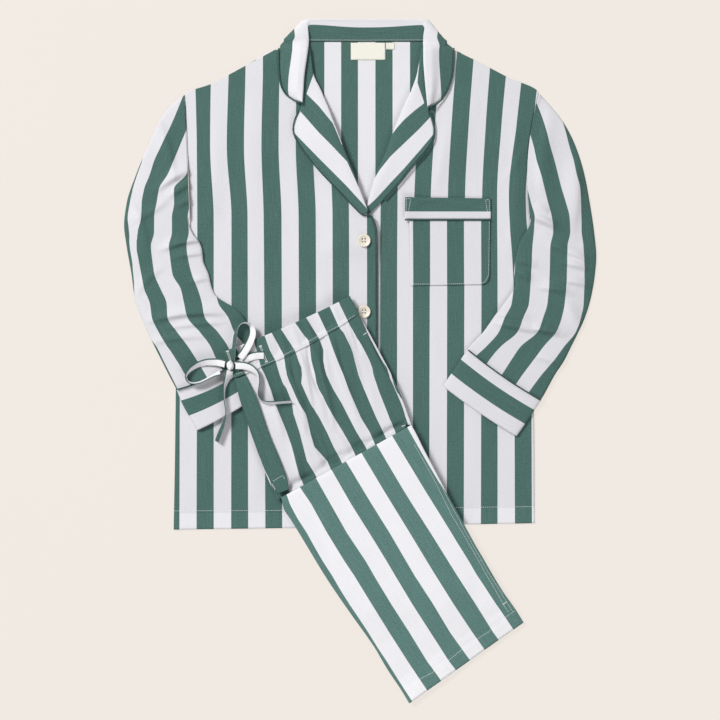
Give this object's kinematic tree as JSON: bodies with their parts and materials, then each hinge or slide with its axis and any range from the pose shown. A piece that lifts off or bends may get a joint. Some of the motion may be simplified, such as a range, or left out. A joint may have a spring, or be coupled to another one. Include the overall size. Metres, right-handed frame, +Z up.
{
  "type": "pyjama set",
  "caption": "Striped pyjama set: piped notch-collar jacket laid flat with its sleeves bent inwards, and drawstring trousers folded lengthwise and then across, laid over its front.",
  "frame": {"origin": "centre of the whole set's plan box, on the surface it lies on", "axes": "+Y from the jacket's hem to its collar, +X to the right as seen from above with the collar up, +Z up from the surface"},
  "size_m": [0.6615, 0.9579, 0.032],
  "materials": {
    "striped_cloth": "woven cotton, equal green and white stripes",
    "drawstring_tape": "flat self-fabric tape, green and white",
    "piping": "corded bias piping",
    "label_tape": "woven tape, bare",
    "button": "four-hole, pearly cream"
  },
  "bodies": {
    "root": {"back_panel": "striped_cloth", "button_1": "button", "button_2": "button", "button_3": "button", "button_4": "button", "collar": "striped_cloth", "collar_piping_left": "piping", "collar_piping_right": "piping", "cuff_left": "striped_cloth", "cuff_piping_left": "piping", "cuff_piping_right": "piping", "cuff_right": "striped_cloth", "drawstring_knot": "drawstring_tape", "drawstring_loop_left": "drawstring_tape", "drawstring_loop_up": "drawstring_tape", "drawstring_strand": "drawstring_tape", "drawstring_tail_left": "drawstring_tape", "drawstring_tail_right": "drawstring_tape", "fly_placket": "striped_cloth", "front_left": "striped_cloth", "front_piping_left": "piping", "front_piping_right": "piping", "front_right": "striped_cloth", "hidden_layers": "striped_cloth", "lapel_left": "striped_cloth", "lapel_right": "striped_cloth", "leg_lower": "striped_cloth", "leg_upper": "striped_cloth", "neck_label": "label_tape", "pocket": "striped_cloth", "pocket_band": "striped_cloth", "pocket_piping": "piping", "side_pocket_edge": "striped_cloth", "size_tab": "label_tape", "sleeve_left": "striped_cloth", "sleeve_right": "striped_cloth", "waistband": "striped_cloth"}
  },
  "joints": []
}
